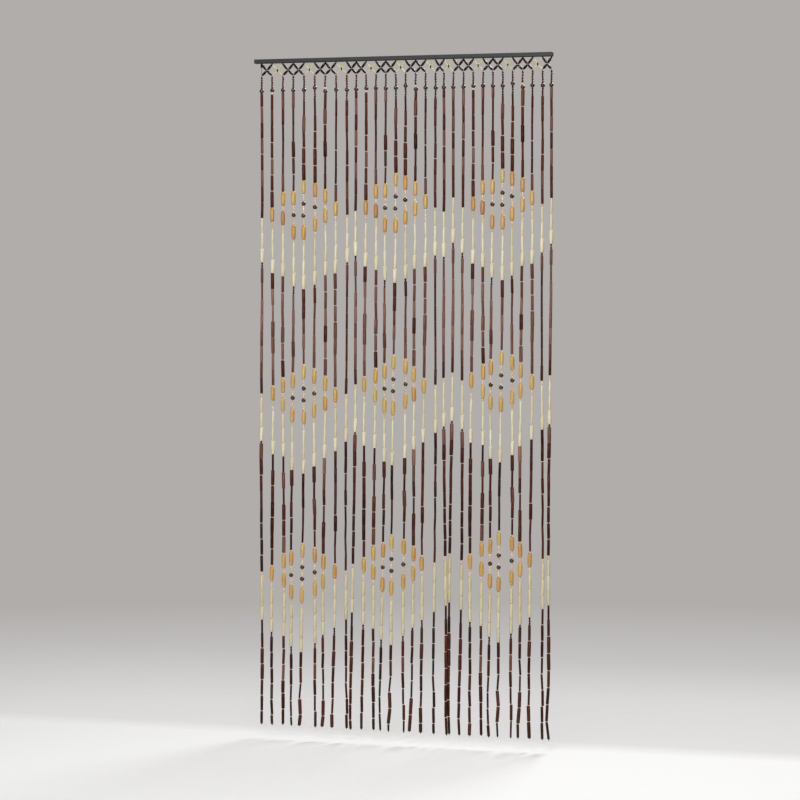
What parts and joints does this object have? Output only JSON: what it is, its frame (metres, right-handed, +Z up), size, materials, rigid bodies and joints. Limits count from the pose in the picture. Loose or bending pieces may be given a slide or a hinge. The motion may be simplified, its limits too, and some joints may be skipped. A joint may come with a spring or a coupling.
{
  "type": "bead curtain on a wooden rail",
  "caption": "Wooden bead curtain: a netted heading under a slim rail, with hanging strands of dark, cream and amber beads that make rows of lozenge motifs.",
  "frame": {"origin": "middle of the rail's top face", "axes": "+X along the rail, +Y the way through the doorway, +Z up, so the strands hang down along -Z"},
  "size_m": [0.9008, 0.0196, 2],
  "materials": {
    "stained_rail": "dark stained batten, satin",
    "dark_beads": "dark brown stained and polished wooden beads on a dark thread"
  },
  "bodies": {
    "root": {"rail": "stained_rail", "curtain": "dark_beads"}
  },
  "joints": []
}
